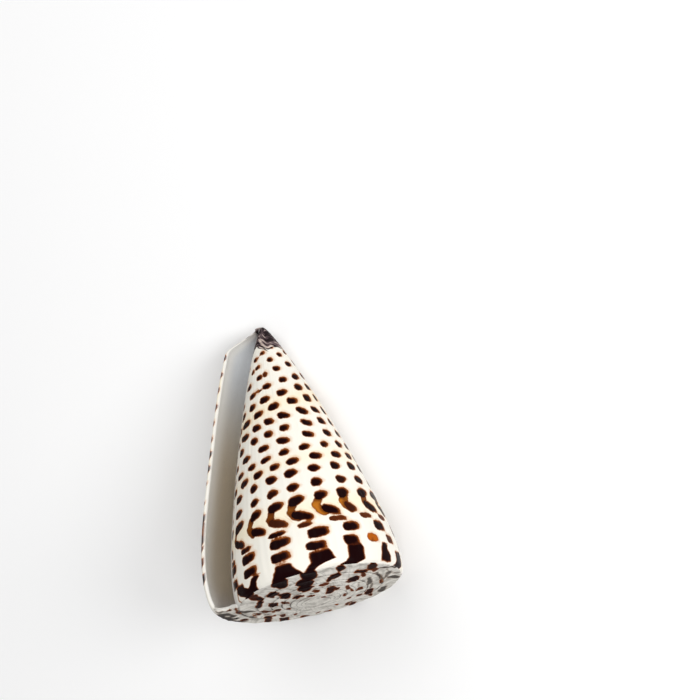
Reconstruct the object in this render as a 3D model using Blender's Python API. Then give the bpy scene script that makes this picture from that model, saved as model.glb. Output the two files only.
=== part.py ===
# A cone shell lying on its side: one closed body with a hollow last whorl.
# The shell is built upright, spire up, and then turned to its rest pose.
# "Back" is the angle counted back from the lip round the axis, in radians.
# "Drop" is the share of the way from the shoulder (0) down to the narrow tip (1).
# "Share" runs across a ramp of the spire, from its shoulder (0) to its suture (1).
import bmesh
import bpy
import numpy as np
from mathutils import Matrix

TURN = 2 * np.pi

# Sizes in metres
SIDE_LENGTH = 0.096
SHOULDER_RADIUS = 0.0361
SPIRE_RISE = 0.0041
APEX_RISE = 0.0006
RAMP_HOLLOW = 0.0007
TIP_ROUNDING = 0.0070
LIP_FLARE = 0.0100
LIP_FULLNESS = 0.00075
WALL = 0.0022
LIP_WALL = 0.0014
LIP_BULGE = 0.0006
REST_FLAT_DEPTH = 0.0008
WHORL_TILT = 0.0006
SLOT_LEAST = 0.0012
COLUMN_LEAST = 0.0015

# Shares and angles in radians
NARROWING = 0.0423
SIDE_BEND = 1.19
SIDE_POWER = 0.965
SHOULDER_ROUNDING = 0.086
SHOULDER_ROUNDING_REACH = 0.065
FLARE_REACH = 1.50
FLARE_POWER = 1.10
FULLEST_DROP = 0.22
FULLNESS_REACH = 0.20
LIP_CORNER = 0.910
LIP_CORNER_SHARPNESS = 1.45
NOTCH_BACK = 0.38
SINUS_BACK = 0.15
SHOULDER_SETBACK = 0.07
SHOULDER_SETBACK_REACH = 0.10
TILT_BACK = 0.17
SINUS_REACH = 1.6
THICKENING_REACH = 0.35
CORE_WASTING = 0.18
CORE_WASTING_REACH = 2.2
CHAMBER_BACK = 4.7
CHAMBER_NARROWS_FROM = 0.85
CHAMBER_END_DROP = 0.80

# Rest pose in degrees: the roll about the shell's own axis and the dip of that axis
REST_ROLL = 148.54
REST_DIP = -16.09

# Mesh steps
STEPS_ROUND = 60
SPIRE_TURNS = 8
RAMP_SHARES = (0.0, 0.12, 0.5, 0.9, 1.0)
DROPS = (0.0, 0.023, 0.05, 0.09, 0.14, 0.20, 0.27, 0.34, 0.42, 0.50, 0.58, 0.66, 0.73,
         0.79, 0.84, 0.88, 0.915, 0.94, 0.96, 0.975, 0.988, 1.0)
CHAMBER_STEPS = 26

SHELL_WHITE = (0.86, 0.81, 0.72, 1.0)


def smooth(value):
    """An even rise from 0 to 1, flat at both ends."""
    held = np.clip(value, 0.0, 1.0)
    return held * held * (3 - 2 * held)


def point(back, radius, height):
    return np.array([radius * np.cos(back), radius * np.sin(back), height])


def shoulder_radius(back):
    return SHOULDER_RADIUS * np.exp(-NARROWING * back)


def shoulder_height(back):
    """The height rises towards the middle of the spire, and the whorls lean a little."""
    size = np.exp(-NARROWING * back)
    return SPIRE_RISE * (1 - size) + WHORL_TILT * size * np.cos(back - TILT_BACK)


def side_height(back, drop):
    top = shoulder_height(back)
    return top - (SIDE_LENGTH + top) * drop


def past_corner(drop):
    """0 down to the lip's lower corner, then 1 at the tip."""
    return np.clip((drop - LIP_CORNER) / (1 - LIP_CORNER), 0.0, 1.0)


def side_radius(back, drop):
    taper = (1 - drop ** SIDE_BEND) ** SIDE_POWER
    rounded = 1 - SHOULDER_ROUNDING * np.exp(-drop / SHOULDER_ROUNDING_REACH)
    closing = 1 - past_corner(drop) ** LIP_CORNER_SHARPNESS
    fullness = LIP_FULLNESS * np.exp(-((drop - FULLEST_DROP) / FULLNESS_REACH) ** 2)
    near_lip = np.exp(-(back / FLARE_REACH) ** 2)
    flare = near_lip * (LIP_FLARE * drop ** FLARE_POWER * closing + fullness)
    blunt = TIP_ROUNDING * (np.sqrt(1 - drop) - (1 - drop))
    return shoulder_radius(back) * taper * rounded + flare + blunt


def side_point(back, drop):
    return point(back, side_radius(back, drop), side_height(back, drop))


def lip_setback(drop):
    """How far back the lip's edge stands, near its lower corner."""
    return NOTCH_BACK * smooth(past_corner(drop))


def shoulder_setback(back, drop):
    """The lip's edge also bows back where it rounds the shoulder."""
    near_shoulder = np.clip(1 - drop / SHOULDER_SETBACK_REACH, 0.0, 1.0) ** 2
    return SHOULDER_SETBACK * near_shoulder * sinus_fade(back)


def sinus_fade(back):
    """1 at the lip, falling to 0 further back."""
    return np.maximum(0.0, 1 - back / SINUS_REACH)


def ramp_point(back, share):
    """A point of the spire: each ramp is hollow and steps up to the older whorl."""
    outer = side_radius(back, 0.0)
    inner = side_radius(back + TURN, 0.0)
    radius = outer + (inner - outer) * share
    low, high = shoulder_height(back), shoulder_height(back + TURN)
    hollow = RAMP_HOLLOW * (outer / SHOULDER_RADIUS) * np.sin(np.pi * share ** 1.6) ** 0.7
    return point(back, radius, low + (high - low) * share - hollow)


def ramp_setback(back, share):
    """The growth edge bows back across the last ramp."""
    bow = SINUS_BACK * np.sin(np.pi * share) + SHOULDER_SETBACK * (1 - share)
    return bow * sinus_fade(back)


def wall_here(back):
    return LIP_WALL + (WALL - LIP_WALL) * smooth(back / THICKENING_REACH)


def core_radius(back, drop, wall_radius):
    """The older whorl inside the chamber: wasted thinner, then meeting the outer wall."""
    bare = side_radius(back + TURN, drop) * (1 - CORE_WASTING * smooth(back / CORE_WASTING_REACH))
    nearest = wall_radius - SLOT_LEAST
    depth_share = back / CHAMBER_BACK
    meeting = smooth((depth_share - CHAMBER_NARROWS_FROM) / (1 - CHAMBER_NARROWS_FROM))
    return max(min(bare + (nearest - bare) * meeting, nearest), COLUMN_LEAST)


def side_grid(vertices):
    """Vertex numbers of the body's side, by step round and then by drop."""
    grid = []
    tip = add(vertices, np.array([0.0, 0.0, -SIDE_LENGTH]))
    for step in range(STEPS_ROUND + 1):
        share_round = step / STEPS_ROUND
        column = []
        for drop in DROPS[:-1]:
            start = TURN * share_round
            back = start + lip_setback(drop) * (1 - share_round) + shoulder_setback(start, drop)
            column.append(add(vertices, side_point(back, drop)))
        grid.append(column + [tip])
    return grid


def spire_grid(vertices, side):
    """Vertex numbers of the spiral of ramps, each turn sharing its suture with the next."""
    total = SPIRE_TURNS * STEPS_ROUND
    edge = []
    for step in range(total + 1):
        if step <= STEPS_ROUND:
            edge.append(side[step][0])
        else:
            edge.append(add(vertices, ramp_point(TURN * step / STEPS_ROUND, 0.0)))
    grid = []
    for step in range(total - STEPS_ROUND + 1):
        start = TURN * step / STEPS_ROUND
        row = [edge[step]]
        for share in RAMP_SHARES[1:-1]:
            back = start + ramp_setback(start, share)
            row.append(add(vertices, ramp_point(back, share)))
        grid.append(row + [edge[step + STEPS_ROUND]])
    apex_height = shoulder_height(TURN * SPIRE_TURNS) + APEX_RISE
    apex = add(vertices, np.array([0.0, 0.0, apex_height]))
    return grid, edge, apex


def add(vertices, place):
    vertices.append(place)
    return len(vertices) - 1


def add_quads(faces, first, second):
    """Faces between two rows of vertex numbers of equal length."""
    for here in range(len(first) - 1):
        ring = [first[here], first[here + 1], second[here + 1], second[here]]
        kept = [number for place, number in enumerate(ring) if number not in ring[:place]]
        if len(kept) > 2:
            faces.append(kept)


def chamber_drops(back):
    """The drops of the chamber's rows at one depth, floor rising as it goes in."""
    top, low = DROPS[1], DROPS[-2]
    floor = low + (CHAMBER_END_DROP - low) * smooth(back / CHAMBER_BACK)
    return [top + (drop - top) * (floor - top) / (low - top) for drop in DROPS[1:-1]]


def chamber_ring(vertices, back, side):
    """One open ring of the chamber: up the core, over the ceiling, down the outer wall."""
    drops = chamber_drops(back)
    depth_share = back / CHAMBER_BACK
    wall = wall_here(back)
    outer_wall = []
    for drop in drops:
        place = back + lip_setback(drop) * (1 - depth_share) + shoulder_setback(back, drop)
        radius = max(side_radius(place, drop) - wall, COLUMN_LEAST + SLOT_LEAST)
        outer_wall.append((place, radius, side_height(place, drop)))
    core = []
    for drop, (_, wall_radius, _) in zip(drops, outer_wall):
        radius = core_radius(back, drop, wall_radius)
        core.append((back + TURN, radius, side_height(back + TURN, drop)))
    ceiling = []
    for share in reversed(RAMP_SHARES[1:-1]):
        place = back + ramp_setback(back, share)
        under = ramp_point(place, share)
        radius = core[0][1] + (outer_wall[0][1] - core[0][1]) * (1 - share)
        ceiling.append((place, radius, under[2] - wall))
    if side is None:
        core_numbers = [add(vertices, point(*spot)) for spot in core]
    else:
        core_numbers = side[STEPS_ROUND][1:-1]
    ceiling_numbers = [add(vertices, point(*spot)) for spot in ceiling]
    wall_numbers = [add(vertices, point(*spot)) for spot in outer_wall]
    return core_numbers, ceiling_numbers, wall_numbers


def lip_edge(vertices, faces, outer, inner):
    """The rounded edge that joins the outside to the chamber's first ring."""
    middle = []
    for out_number, in_number in zip(outer[1:-1], inner[1:-1]):
        centre = (vertices[out_number] + vertices[in_number]) / 2
        flat = np.array([centre[1], -centre[0], 0.0])
        forward = flat / max(np.linalg.norm(flat), 0.001)
        middle.append(add(vertices, centre + forward * LIP_BULGE))
    add_quads(faces, outer[1:-1], middle)
    add_quads(faces, middle, inner[1:-1])
    for end, near in ((0, 1), (-1, -2)):
        mid = middle[end]
        faces.append([outer[end], outer[near], mid])
        faces.append([outer[end], mid, inner[end]])
        faces.append([inner[end], mid, inner[near]])


def build_shell():
    """All vertices and faces of the shell in its own upright frame."""
    vertices, faces = [], []
    side = side_grid(vertices)
    for first, second in zip(side, side[1:]):
        add_quads(faces, first, second)
    ramps, edge, apex = spire_grid(vertices, side)
    for first, second in zip(ramps, ramps[1:]):
        add_quads(faces, first, second)
    rim = edge[-STEPS_ROUND - 1:] + ramps[-1][-2:0:-1]
    for first, second in zip(rim, rim[1:] + rim[:1]):
        faces.append([first, second, apex])
    depths = [CHAMBER_BACK * step / CHAMBER_STEPS for step in range(CHAMBER_STEPS + 1)]
    rings = []
    for depth in depths:
        rings.append(chamber_ring(vertices, depth, side if depth == 0 else None))
    for first, second in zip(rings, rings[1:]):
        loops = []
        for core, ceiling, wall in (first, second):
            loops.append(core[::-1] + ceiling + wall + [core[-1]])
        add_quads(faces, loops[0], loops[1])
    core, ceiling, wall = rings[-1]
    add_quads(faces, core, wall)
    faces.append([core[0]] + ceiling + [wall[0]])
    core, ceiling, wall = rings[0]
    corner = wall[0]
    outer = ramps[0][::-1] + side[0][1:]
    inner = [core[0]] + ceiling + [corner] + wall + [core[-1]]
    lip_edge(vertices, faces, outer, inner)
    return vertices, faces


def wear_rest_flat(vertices):
    """The side that the shell lies on is worn to a small flat."""
    down = -np.array(rest_turn().to_3x3())[2]
    depths = np.array(vertices) @ down
    flat_depth = depths.max() - REST_FLAT_DEPTH
    for number, depth in enumerate(depths):
        if depth > flat_depth:
            vertices[number] = vertices[number] - (depth - flat_depth) * down


def shell_material():
    material = bpy.data.materials.new("shell_porcelain")
    material.use_nodes = True
    shader = material.node_tree.nodes["Principled BSDF"]
    shader.inputs["Base Color"].default_value = SHELL_WHITE
    shader.inputs["Roughness"].default_value = 0.22
    shader.inputs["Metallic"].default_value = 0.0
    return material


def shell_mesh():
    vertices, faces = build_shell()
    wear_rest_flat(vertices)
    mesh = bpy.data.meshes.new("cone_shell")
    mesh.from_pydata([tuple(place) for place in vertices], [], faces)
    shape = bmesh.new()
    shape.from_mesh(mesh)
    bmesh.ops.triangulate(shape, faces=shape.faces[:])
    bmesh.ops.recalc_face_normals(shape, faces=shape.faces[:])
    if shape.calc_volume(signed=True) < 0:
        bmesh.ops.reverse_faces(shape, faces=shape.faces[:])
    shape.to_mesh(mesh)
    shape.free()
    return mesh


def rest_turn():
    """Turns the upright shell onto its side, spire to the front."""
    roll = Matrix.Rotation(np.radians(REST_ROLL), 4, "Z")
    lay_down = Matrix.Rotation(np.radians(90.0 + REST_DIP), 4, "X")
    return lay_down @ roll


def place_on_floor(shell):
    """Rests the lowest point on the floor, with the box centred on the origin."""
    turn = rest_turn()
    corners = np.array([turn @ vertex.co for vertex in shell.data.vertices])
    low, high = corners.min(axis=0), corners.max(axis=0)
    middle = (low + high) / 2
    shell.rotation_euler = turn.to_euler()
    shell.location = (-middle[0], -middle[1], -low[2])


def build():
    for leftover in list(bpy.data.objects):
        bpy.data.objects.remove(leftover, do_unlink=True)
    mesh = shell_mesh()
    mesh.materials.append(shell_material())
    shell = bpy.data.objects.new("cone_shell", mesh)
    group = bpy.data.collections.new("cone_shell")
    bpy.context.scene.collection.children.link(group)
    group.objects.link(shell)
    place_on_floor(shell)
    mesh.shade_smooth()
    mesh.set_sharp_from_angle(angle=np.radians(50.0))


build()
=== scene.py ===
# The looks of a cone shell that lies on a pale floor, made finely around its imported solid.
# "Back" is the angle counted back from the lip round the shell's own axis, in radians.
# "Drop" is the share of the way from the shoulder (0) down to the narrow tip (1).
# "Share" runs across a ramp of the spire, from its shoulder (0) to its suture (1).
# The shell is made in its own frame, spire up, and then laid down as the solid lies.
import math
from collections import namedtuple

import bmesh
import bpy
import numpy as np
from mathutils import Matrix


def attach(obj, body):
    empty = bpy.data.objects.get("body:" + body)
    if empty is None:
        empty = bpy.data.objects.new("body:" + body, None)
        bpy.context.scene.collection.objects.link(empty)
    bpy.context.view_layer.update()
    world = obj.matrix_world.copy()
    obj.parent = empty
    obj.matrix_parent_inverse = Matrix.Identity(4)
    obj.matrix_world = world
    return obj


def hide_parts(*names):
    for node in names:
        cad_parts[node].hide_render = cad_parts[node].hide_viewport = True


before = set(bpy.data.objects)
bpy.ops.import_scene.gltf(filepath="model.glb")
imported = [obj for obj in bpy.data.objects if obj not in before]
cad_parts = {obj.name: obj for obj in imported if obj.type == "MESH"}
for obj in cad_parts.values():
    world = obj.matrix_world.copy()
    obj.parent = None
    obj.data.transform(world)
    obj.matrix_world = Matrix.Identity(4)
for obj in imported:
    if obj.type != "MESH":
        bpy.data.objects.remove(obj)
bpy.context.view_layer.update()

TURN = 2 * np.pi
MM = 1000.0

# Sizes in metres, the same as the solid's
SIDE_LENGTH = 0.096
SHOULDER_RADIUS = 0.0361
SPIRE_RISE = 0.0041
APEX_RISE = 0.0006
RAMP_HOLLOW = 0.0007
TIP_ROUNDING = 0.007
LIP_FLARE = 0.01
LIP_FULLNESS = 0.00075
WALL = 0.0022
LIP_WALL = 0.0014
LIP_BULGE = 0.0006
WHORL_TILT = 0.0006
SLOT_LEAST = 0.0012
COLUMN_LEAST = 0.0015

# Shares and angles in radians, the same as the solid's
NARROWING = 0.0423
SIDE_BEND = 1.19
SIDE_POWER = 0.965
SHOULDER_ROUNDING = 0.086
SHOULDER_ROUNDING_REACH = 0.065
FLARE_REACH = 1.5
FLARE_POWER = 1.1
FULLEST_DROP = 0.22
FULLNESS_REACH = 0.2
LIP_CORNER = 0.91
LIP_CORNER_SHARPNESS = 1.45
NOTCH_BACK = 0.38
SINUS_BACK = 0.15
SHOULDER_SETBACK = 0.07
SHOULDER_SETBACK_REACH = 0.1
TILT_BACK = 0.17
SINUS_REACH = 1.6
THICKENING_REACH = 0.35
CORE_WASTING = 0.18
CORE_WASTING_REACH = 2.2
CHAMBER_BACK = 4.7
CHAMBER_NARROWS_FROM = 0.85
CHAMBER_TOP = 0.023
CHAMBER_END_DROP = 0.8

# Rest pose: degrees of roll and dip, then the place of the shell's own origin in metres
REST_ROLL = 148.54
REST_DIP = -16.09
REST_PLACE = (0.0024839, -0.0418531, 0.0329268)

# Mesh steps
STEPS_ROUND = 288
SPIRE_TURNS = 8
RAMP_CELLS = 10
CHAMBER_STEPS = 48
LIP_ROWS = 5
WELD = 2e-7

# Fine relief in metres
EDGE_SOFTENING = 0.0004
EDGE_WAVE = 0.0003
GROWTH_RIDGE = 0.00005
CORD_DEPTH = 0.0001
CORD_SPACING = 0.0013
RAMP_THREAD = 0.00005
RAMP_RIDGE = 0.00022

# The soft edge: its share in height, then its reach down the side and across both ramps
EDGE_SINKS = 0.8
EDGE_REACH_DOWN = 0.016
EDGE_REACH_IN = 0.1
EDGE_REACH_OUT = 0.06

# Drops between which the narrow tip has cords, and the drop where the growth ridges end
CORDS_FROM = 0.8
CORDS_UP_TO = 0.985
RIDGES_UP_TO = 0.99

# Zones of the surface; all but the side are duller and rougher
ON_SIDE = 0.0
ON_SPIRE = 1.0
IN_CHAMBER = 2.0

# Coordinates for stretched noise: metres per radian round the shell and across one ramp, then
# how far the growth lines lean over one ramp, in radians
GROWTH_PER_RADIAN = 0.03
GROWTH_PER_RAMP = 0.008
SPIRE_LEAN = 0.15

# Back from here the side lies inside the lip and passes into the chamber's look, in radians
GLAZE_FROM = 6.12
GLAZE_PASSAGE = 0.12

# Marks are drawn out to FAR millimetres past their edges, and narrow down to this drop
FAR = 3.0
LOWEST_MARK = 0.97

# A row's place down the side is its drop at this angle, in radians
FRONT_BACK = 1.5 * np.pi

# In degrees: where a row's climb is 0, where it stops, and where the hidden spots end
CLIMB_FROM = 300.0
HIDDEN_BELOW = 205.0
LIP_SPOT_ANGLE = 4.0
HIDDEN_END = 372.0
PATTERN_SEED = 7

# A row of spots: its place as a share of the length, its climb per 100 degrees, its spots'
# height as such a share, their slant, how round and how pointed they are, the hidden ones'
# pitch in degrees, and each seen one's angle and width in degrees, then its paleness if any
Row = namedtuple("Row", "place climb height slant round point pitch spots")
SPOT_ROWS = (
    Row(0.073, 0.014, 0.0295, 0, 0.45, 0, 24, (
        (325.4, 13.8), (298.7, 13.5), (274.4, 13), (250.5, 10.8), (214.4, 8, 0.4))),
    Row(0.119, 0.012, 0.033, 0, 0.55, 0.1, 24, (
        (325.3, 14), (298, 14.6), (271.3, 14.1), (248.2, 11.8), (222.5, 11))),
    Row(0.1525, 0.016, 0.018, 0.05, 0.8, 0.1, 23, (
        (327.2, 12), (299, 13.4), (279, 10.7, 0.35), (256, 12, 0.7), (232.7, 11.2, 0.75),
        (213.5, 9.5, 0.7))),
    Row(0.188, 0.011, 0.032, 0.36, 0.75, 0.1, 19, (
        (335.3, 15.5), (313.6, 13), (297, 13.4, 0.35), (279.2, 15), (258.8, 12), (243, 9, 0.3),
        (223, 12.5))),
    Row(0.25, 0, 0.035, -0.12, 0.75, 0.45, 19, (
        (336.3, 15), (315.3, 10.9), (297.4, 12.6), (281.3, 12.4), (262.8, 11), (245.3, 11),
        (225.5, 12.4))),
    Row(0.3, 0, 0.03, 0, 0.85, 0.55, 19.5, (
        (337.7, 12.4), (315.8, 8.6), (298.5, 10.4, 0.1), (281.8, 10.2), (262.8, 10.4), (241.8, 10, 0.1),
        (221.3, 11.4))),
    Row(0.353, 0, 0.03, 0.04, 0.8, 0.55, 19.5, (
        (337.5, 12), (316.2, 9), (298.5, 10.8), (281.4, 11.8), (261.6, 10.8), (241.8, 10), (221.8, 11))),
    Row(0.397, 0, 0.027, 0, 0.8, 0.25, 18.5, (
        (329.6, 11.8), (311.5, 11), (294.7, 9.2), (278, 12), (256.6, 11.6), (235.1, 11.4), (217.1, 10))),
    Row(0.44, 0, 0.026, 0, 0.9, 0.2, 18.5, (
        (337.5, 11.8), (319, 10.6), (302.4, 10.6), (283.8, 11), (264.1, 11.2), (243.5, 10),
        (223.8, 9.4))),
    Row(0.486, 0, 0.027, 0.14, 0.8, 0.2, 22, (
        (328.3, 13), (304.1, 13), (282.6, 12.8), (256.2, 11.4), (232.6, 11.4), (212, 10))),
    Row(0.535, 0, 0.028, 0.22, 0.7, 0.2, 20, (
        (339.7, 11), (315.8, 11.4), (297.4, 10.6), (278.9, 10.6), (252.7, 13), (231.9, 11.4),
        (213.8, 9))),
    Row(0.583, 0, 0.028, 0.32, 0.7, 0.35, 20, (
        (333, 17.6), (312, 13.4), (294.9, 13.4), (276.2, 16), (252.4, 14.3), (231.9, 13.4), (213.8, 10))),
    Row(0.634, 0, 0.03, 0.1, 0.6, 0.25, 23, (
        (332.1, 18), (309.5, 14.3), (286.5, 14.8), (260.8, 14.3), (235.6, 13.4), (214.1, 10))),
    Row(0.682, 0, 0.028, 0.12, 0.65, 0.35, 25, (
        (320.9, 13.4), (298.2, 15.9), (271.7, 15.9), (241.5, 15), (218, 12.6))),
    Row(0.731, 0, 0.025, 0.15, 0.75, 0.3, 28, (
        (321.5, 15), (292.7, 16.8), (263.3, 15), (235.6, 16.8))),
    Row(0.787, 0, 0.024, 0.3, 0.8, 0.3, 31, (
        (334.6, 16.8), (306, 14), (294, 11, 0.55), (268.3, 16), (235.6, 16.8))),
    Row(0.838, 0, 0.021, 0.4, 0.85, 0.2, 31, (
        (327, 11, 0.3), (311.1, 16.5), (278.4, 16.8), (247, 16.8))),
    Row(0.888, 0, 0.02, 0.5, 0.85, 0.2, 34, (
        (322.5, 16), (297.7, 18.4), (264, 18))),
)

# Spots are this much larger than their rows say, because of their rounded corners
SPOT_FULLNESS = 1.04

# The bright amber spot by the shoulder: its angle in degrees, its place, its width in degrees
# and its height as a share of the length
AMBER_SPOT = (233.7, 0.084, 9.4, 0.033)

# Flared marks on the shoulder: each station's place and its two edges' angles in degrees
FLARES = (
    ((-0.01, 339, 324), (0.006, 340, 325), (0.02, 345, 330),
     (0.033, 348.5, 334.5), (0.05, 346, 335.5)),
    ((-0.01, 338, 322), (0.015, 333, 322), (0.028, 328.5, 321),
     (0.04, 326.5, 317.5), (0.052, 322.5, 315.5)),
    ((-0.01, 311, 285), (0.006, 309.5, 287.2), (0.019, 307.1, 290.2),
     (0.033, 305.3, 292), (0.0462, 304.2, 292.3)),
    ((-0.01, 286.5, 281), (0.009, 284.3, 276.7), (0.018, 282.6, 271.7),
     (0.026, 280.5, 264.1), (0.046, 280.5, 265.4), (0.0605, 280.3, 267.1)),
    ((-0.01, 262, 254), (0.006, 260.8, 247), (0.0125, 257.3, 244),
     (0.023, 255.3, 243.2), (0.053, 254.7, 243), (0.0655, 254.9, 244.8)),
    ((0.007, 229.9, 218.6), (0.026, 228.9, 219), (0.039, 227.9, 220),
     (0.049, 227.9, 221.3), (0.07, 225.5, 219)),
)

# Hidden flared marks: their spacing and last angle in degrees, then their stations, with the
# edges' angles counted from each mark's own angle
FLARE_PITCH = 25.0
LAST_FLARE_ANGLE = 8.0
HIDDEN_FLARE = ((-0.01, 9, -5), (0.02, 5.5, -6), (0.052, 6, -6))

# How far a flared mark's corners are rounded, in millimetres
FLARE_CORNER = 0.5

# Cream bands: the place of each one's middle, its reach and its strength
CREAM_BANDS = ((0.64, 0.045, 1), (0.4, 0.03, 0.7), (0.215, 0.035, 1))

# The dark tip's border: its middle place, its swing once round the shell and that swing's
# angle in degrees, then local dips: angle in degrees, reach in radians and depth
TIP_PLACE = 0.885
TIP_SWING = 0.055
TIP_SWING_ANGLE = 264.0
TIP_BORDER_DIPS = ((325, 0.35, 0.016), (276, 0.2, -0.014))

# Past this drop the narrow tip is dark all round
TIP_END = 0.976

# Thin lines, two that join spots and one over the shoulder by the lip: angles and places
THIN_LINES = (
    ((315, 0.737), (307, 0.73), (297, 0.733)),
    ((317, 0.884), (304, 0.886)),
    ((347.5, 0.03), (350, 0.01), (349.5, -0.012)),
)
THIN_LINE_HALF_WIDTH = 0.42
THIN_LINE_TONE = 0.2

# The amber links of the C marks: their stations, as degrees from a link's own angle and a
# place, then each link's own angle, half width in millimetres and darkness
LINK_STATIONS = ((-3, 0.242), (0, 0.215), (-2, 0.197), (-5, 0.188))
LINKS = ((343.5, 0.95, 0.6), (322.6, 1.3, 0.8), (303.4, 1.35, 0.85), (287, 1.4, 0.65),
         (268.2, 1.4, 0.2), (248, 1.5, 0.05), (228.6, 1.25, 0.45))
LINK_PITCH = 19.0

# Marks on the spire, each a stroke from one point to another as seen from above, in
# millimetres from the shell's axis, then its half width and its paleness
SPIRE_STROKES = (
    (5, -21.2, 6, -25.5, 2.1, 0), (5.2, -16.8, 7, -18, 2.3, 0), (5.6, -12.6, 5.6, -14, 1.9, 0),
    (3.2, -14, 5, -14.3, 0.8, 0.1), (13.9, -17, 14.6, -21.8, 2.1, 0),
    (11.8, -17.5, 13, -17.2, 0.5, 0.1), (15.9, -9.6, 14.9, -12, 1.4, 0),
    (15.3, -7.9, 15.8, -9.2, 0.6, 0.2), (11.4, -7, 11.2, -10.3, 1.35, 0),
    (12.3, -9.4, 13.2, -9.6, 0.8, 0.2), (8, -6.4, 7, -8, 0.95, 0.05), (5.6, -7.6, 6.6, -7.5, 0.5, 0.3),
    (2.2, -6.8, 3.8, -6.9, 0.55, 0.35), (1.2, -9.8, 2.4, -11, 0.8, 0.75),
    (-3, -6.9, -3.3, -11, 1.1, 0.15), (-5.8, -8.4, -4.2, -9.6, 0.6, 0.3),
    (-9.7, -5.2, -8.7, -9, 0.6, 0.8), (-11, -12.3, -9.4, -14.6, 1.2, 0.05),
    (-9.3, -11.6, -8.4, -12.8, 0.7, 0.4), (-1.2, -14.4, 0.3, -14.2, 1.1, 0.8),
    (-3.4, -18, -3.2, -20, 1.7, 0.05), (-1.6, -16.4, -1.9, -17.4, 0.6, 0.1),
    (-5.2, -22.4, -4, -26, 1.15, 0), (-15.9, -17.6, -14.9, -22.4, 1.25, 0.1),
    (-17.4, -15.4, -16.4, -17, 0.8, 0.75), (-13.8, -16.9, -10.2, -19.3, 0.65, 0.05),
    (-13.8, -12.8, -12.9, -16.6, 0.6, 0.5), (-2, -3.3, -1.3, -4.5, 0.5, 0.5),
    (14.2, 0.8, 14.2, -2.2, 1.2, 0.05), (19, 1.5, 18.6, -5, 0.8, 0.05), (19.3, -6.6, 20, -8, 1.3, 0.05),
    (20.4, -7, 21.8, -10.6, 1.3, 0.3), (23.9, -8.8, 22.2, -13.2, 0.7, 0),
    (10, -1.4, 11.2, -2.8, 0.8, 0.35), (26.3, -0.5, 24.8, 8, 0.25, 0.4), (27.6, 5, 28.6, 3.4, 0.75, 0),
    (24.4, 9.5, 24.8, 6.8, 0.5, 0.1), (20.8, 20.6, 21.6, 19.2, 1, 0.2),
    (17.4, 13, 17.3, 10.6, 0.7, 0.15), (18, 15.2, 19.4, 10.5, 0.3, 0.1), (14.8, 8.2, 17, 7, 1, 0.5),
    (12.9, 10.2, 13.2, 7.8, 0.45, 0.5), (11.8, 7.6, 12.3, 5.4, 0.9, 0.35),
    (8.3, 6.6, 8.9, 4.8, 0.6, 0.5), (13.6, 19.2, 13.8, 17.6, 1.1, 0.1),
    (12.4, 27.8, 13, 20.5, 0.95, 0.2), (6.6, 29.6, 7.6, 23, 1.25, 0.1), (8.3, 20.5, 9.3, 15, 0.7, 0.35),
    (11.4, 18, 12.3, 13.6, 0.4, 0.4), (4, 21.5, 4.6, 17, 0.4, 0.85), (-1.6, 29.3, 0.8, 29.2, 0.6, 0.3),
    (-5, 27, -4.2, 22.6, 0.8, 0.5), (-9.4, 26.9, -7.2, 27.4, 0.5, 0.4),
    (-16, 24, -16.6, 21.4, 0.9, 0.3), (-14.2, 22.8, -14, 19.4, 0.7, 0.5),
    (-15.4, 17, -13.2, 17.6, 0.7, 0.45), (-21.6, 16.6, -20.2, 12.4, 0.6, 0.3),
    (-19.3, 10.2, -18.8, 4.2, 1.1, 0.15), (-16.2, 10.5, -15.4, 6.2, 0.8, 0.45),
    (-12.4, 9, -11.8, 6.2, 0.6, 0.7), (-21.8, -0.8, -20.8, -5, 0.5, 0.25),
    (-14.4, -0.4, -14, -2, 0.9, 0.75), (-11.8, -1.5, -10.4, -5.2, 0.35, 0.6),
    (-9.3, 1.2, -9.1, -1.8, 0.4, 0.85), (-9.6, 17, -8.9, 13.6, 0.5, 0.95),
)

# These strokes are drawn this much wider than listed, because of their rounded ends
SPIRE_MARK_FULLNESS = 1.3

# Painted shadows of the spire's ridges, as soft grey bands drawn like links: each as above, but with its
# darkness last
SPIRE_RIDGE_SHADOWS = (
    (20.4, 22, 24.2, 19.8, 0.7, 1), (24.2, 19.8, 27.8, 15.6, 0.7, 1),
    (24.4, 16.8, 28.8, 12.8, 1.1, 0.95), (28.8, 12.8, 31.2, 8, 1.1, 0.95),
    (25.4, 12.4, 28.6, 8.6, 0.9, 0.85), (27.6, 6.6, 31, 5, 0.5, 0.8), (19.8, 7.4, 24.2, 5.4, 1.2, 0.75),
    (18.4, 18.6, 19.9, 13.8, 0.9, 0.75), (32, 3, 30.6, 7.5, 0.35, 0.7), (26.2, 1.5, 25.4, 6, 0.3, 0.7),
    (19.6, 8.5, 18, 13.5, 0.4, 0.7), (-25.8, -12.6, -22.6, -15.2, 0.45, 0.9),
    (-22.6, -15.2, -18.6, -16.4, 0.6, 0.9), (-22.4, -4.2, -22.8, -10.6, 0.75, 0.55),
    (-22.8, -10.6, -21.6, -13.4, 0.4, 0.7), (-20.9, -5, -19.6, -9.6, 0.35, 0.9),
    (-19.6, -9.6, -17.6, -13.6, 0.35, 0.9), (-27, -1.6, -24.4, -3.4, 1.1, 0.8),
    (-27.8, -6.2, -24.8, -7.2, 0.35, 0.8), (-24.8, -7.2, -23.4, -9.4, 0.35, 0.8),
    (-24.4, 12.4, -24.6, 7.8, 1.2, 0.8), (-17.2, -4.2, -16, -9.8, 0.8, 0.75),
    (-18.8, 3, -18.2, -2.6, 0.35, 0.7), (-18.2, -2.6, -16.8, -4.6, 0.4, 0.7),
    (-13.4, -4.4, -12.6, -8.8, 0.35, 0.6), (15.6, 12.5, 14.2, 16.5, 0.35, 0.5),
)

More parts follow.
